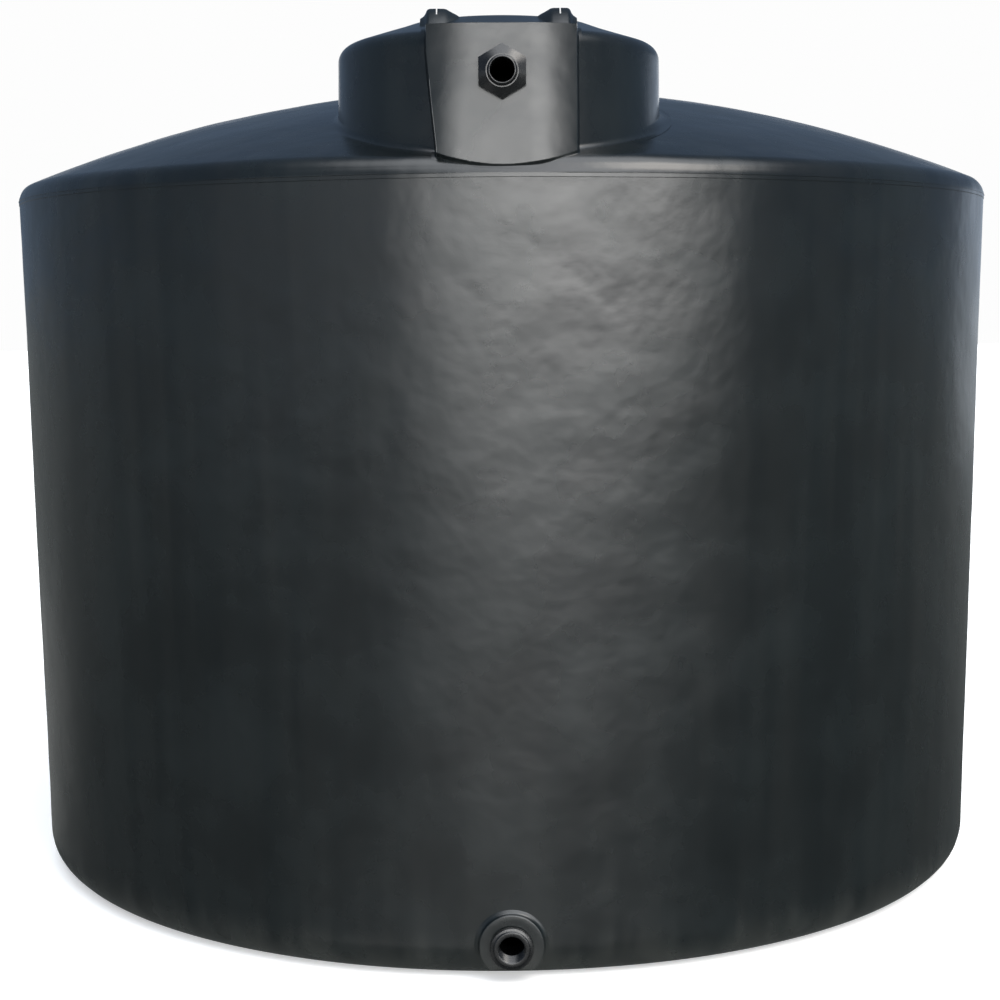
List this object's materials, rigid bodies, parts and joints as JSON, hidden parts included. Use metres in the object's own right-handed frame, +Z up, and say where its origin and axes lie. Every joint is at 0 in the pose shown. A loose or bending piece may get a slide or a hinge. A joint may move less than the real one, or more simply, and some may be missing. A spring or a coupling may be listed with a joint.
{
  "type": "vertical water storage tank",
  "caption": "Free-standing round black plastic water tank with a domed roof, a flat-fronted inlet neck with a manway lid at its front edge, and an outlet near the floor.",
  "frame": {"origin": "centre of the tank's flat underside, on the axis of the round wall, at floor level", "axes": "+Z up along the tank's axis, -Y to the front, where the inlet and outlet are, +X to the right seen from the front"},
  "size_m": [2.5888, 2.6244, 2.1203],
  "materials": {
    "shell": "satin black rotomoulded polyethylene",
    "lid": "black moulded polyethylene",
    "fitting": "black moulded polypropylene",
    "seal": "matt black rubber"
  },
  "bodies": {
    "root": {"tank_floor": "shell", "wall_front": "shell", "wall_front_right": "shell", "wall_right": "shell", "wall_back_right": "shell", "wall_back": "shell", "wall_back_left": "shell", "wall_left": "shell", "wall_front_left": "shell", "roof_front": "shell", "roof_right": "shell", "roof_back": "shell", "roof_left": "shell", "neck_wall_front": "shell", "neck_wall_right": "shell", "neck_wall_back": "shell", "neck_wall_left": "shell", "neck_crown": "shell", "inlet_pad": "shell", "manway_rim": "shell", "manway_lid": "lid", "lid_gasket": "seal", "lid_vent_cap": "fitting", "lifting_lug_front_right": "shell", "lifting_lug_front_left": "shell", "lifting_lug_back_right": "shell", "lifting_lug_back_left": "shell", "inlet_body": "fitting", "inlet_nut": "fitting", "inlet_gasket": "seal", "outlet_boss": "shell", "outlet_body": "fitting", "outlet_nut": "fitting", "outlet_gasket": "seal"}
  },
  "joints": []
}
